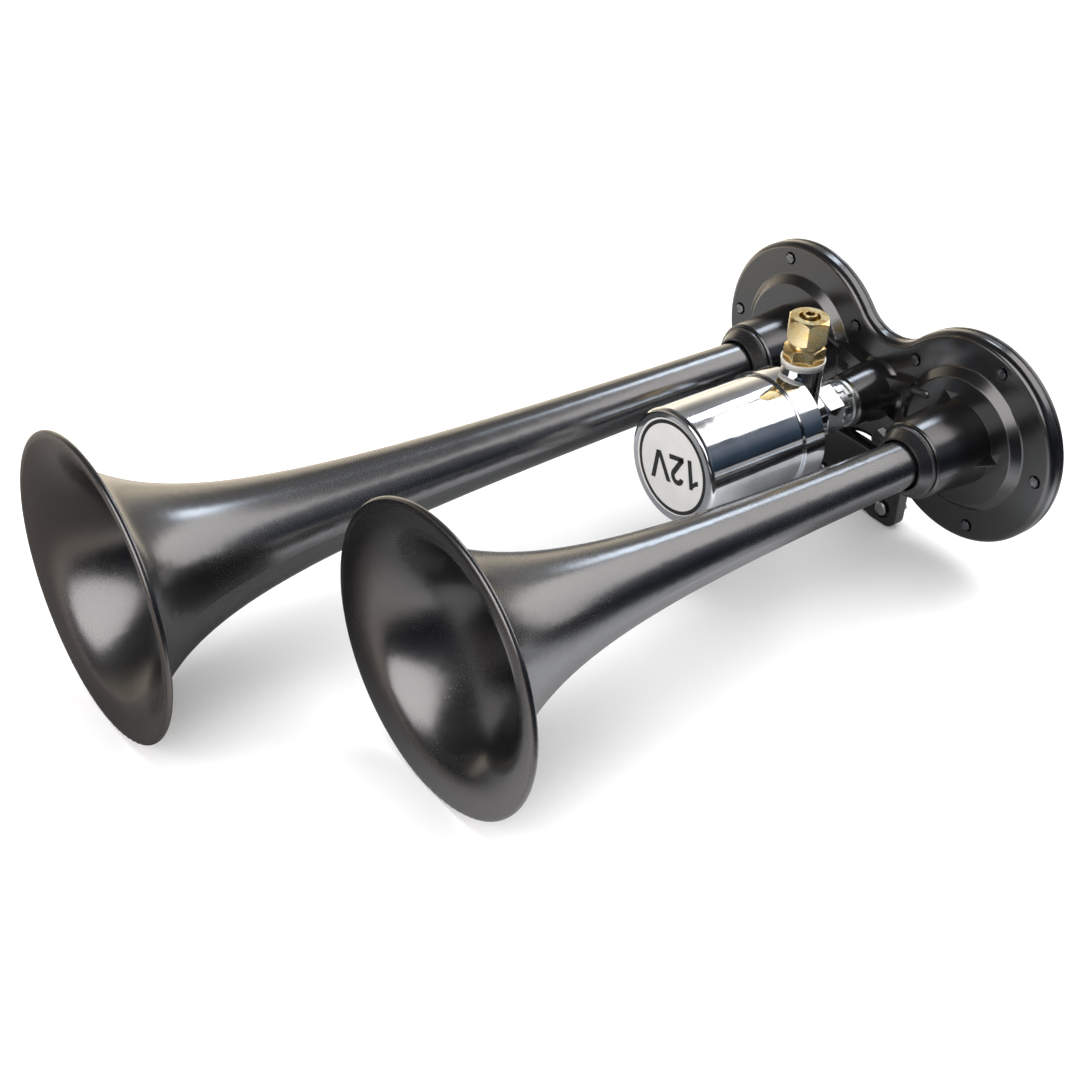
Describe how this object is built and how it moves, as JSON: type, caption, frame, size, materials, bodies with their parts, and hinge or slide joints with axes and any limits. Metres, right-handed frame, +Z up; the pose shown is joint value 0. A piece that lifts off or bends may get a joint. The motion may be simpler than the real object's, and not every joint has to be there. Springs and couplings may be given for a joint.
{
  "type": "car air horn",
  "caption": "Twin trumpet vehicle air horn: long and short flared trumpets on a figure-eight diaphragm housing, with a solenoid air valve, a brass hose fitting and a two-hole foot.",
  "frame": {"origin": "middle of the flat rear face of the back cover, on the plane of the trumpet axes", "axes": "+Y out of the back cover, so the bells face -Y; +Z up, away from the mounting foot and towards the hose fitting; +X towards the short trumpet"},
  "size_m": [0.1956, 0.3215, 0.1064],
  "materials": {
    "trumpet_paint": "satin black enamel",
    "housing_plastic": "satin black moulding",
    "cover_plastic": "satin black moulding",
    "collar_plastic": "fine satin",
    "gasket_rubber": "matte",
    "diaphragm_steel": "rolled",
    "screw_black": "black oxide",
    "zinc_steel": "zinc plated",
    "seal_rubber": "matte",
    "valve_chrome": "polished chrome plate",
    "grommet_rubber": "matte",
    "core_iron": "turned",
    "tube_brass": "drawn",
    "bobbin_plastic": "moulded",
    "winding_wire": "enamelled wire",
    "spring_steel": "drawn wire",
    "label_print": "printed film",
    "fitting_brass": "turned and polished",
    "washer_nylon": "natural nylon"
  },
  "bodies": {
    "horn": {"diaphragm_housing": "housing_plastic", "back_cover": "cover_plastic", "cover_gasket": "gasket_rubber", "short_diaphragm": "diaphragm_steel", "long_diaphragm": "diaphragm_steel", "cover_screws": "screw_black", "mounting_bolts": "zinc_steel", "short_trumpet": "trumpet_paint", "long_trumpet": "trumpet_paint", "short_lock_collar": "collar_plastic", "long_lock_collar": "collar_plastic", "short_seal_ring": "seal_rubber", "long_seal_ring": "seal_rubber", "plain_washer": "zinc_steel", "spring_washer": "zinc_steel", "ring_nut": "zinc_steel", "short_nozzle": "tube_brass", "long_nozzle": "tube_brass", "outlet_nipple": "valve_chrome", "valve_body": "valve_chrome", "coil_can": "valve_chrome", "wire_grommet": "grommet_rubber", "rear_yoke_plate": "core_iron", "front_yoke_plate": "core_iron", "coil_bobbin": "bobbin_plastic", "coil_winding": "winding_wire", "core_tube": "tube_brass", "body_seal": "seal_rubber", "fixed_core": "core_iron", "plunger_spring": "spring_steel", "label_disc": "label_print", "cup_washer": "washer_nylon", "fitting_body": "fitting_brass", "compression_nut": "fitting_brass"},
    "plunger": {"plunger": "core_iron", "plunger_seat": "seal_rubber"}
  },
  "joints": [
    {"name": "plunger_slide", "type": "slide", "parent": "horn", "child": "plunger", "axis": [0, -1, 0], "range_m": [0, 0.0018], "stiffness_N_per_m": 300, "springref_m": -0.003, "deforming": ["plunger_spring"]}
  ]
}
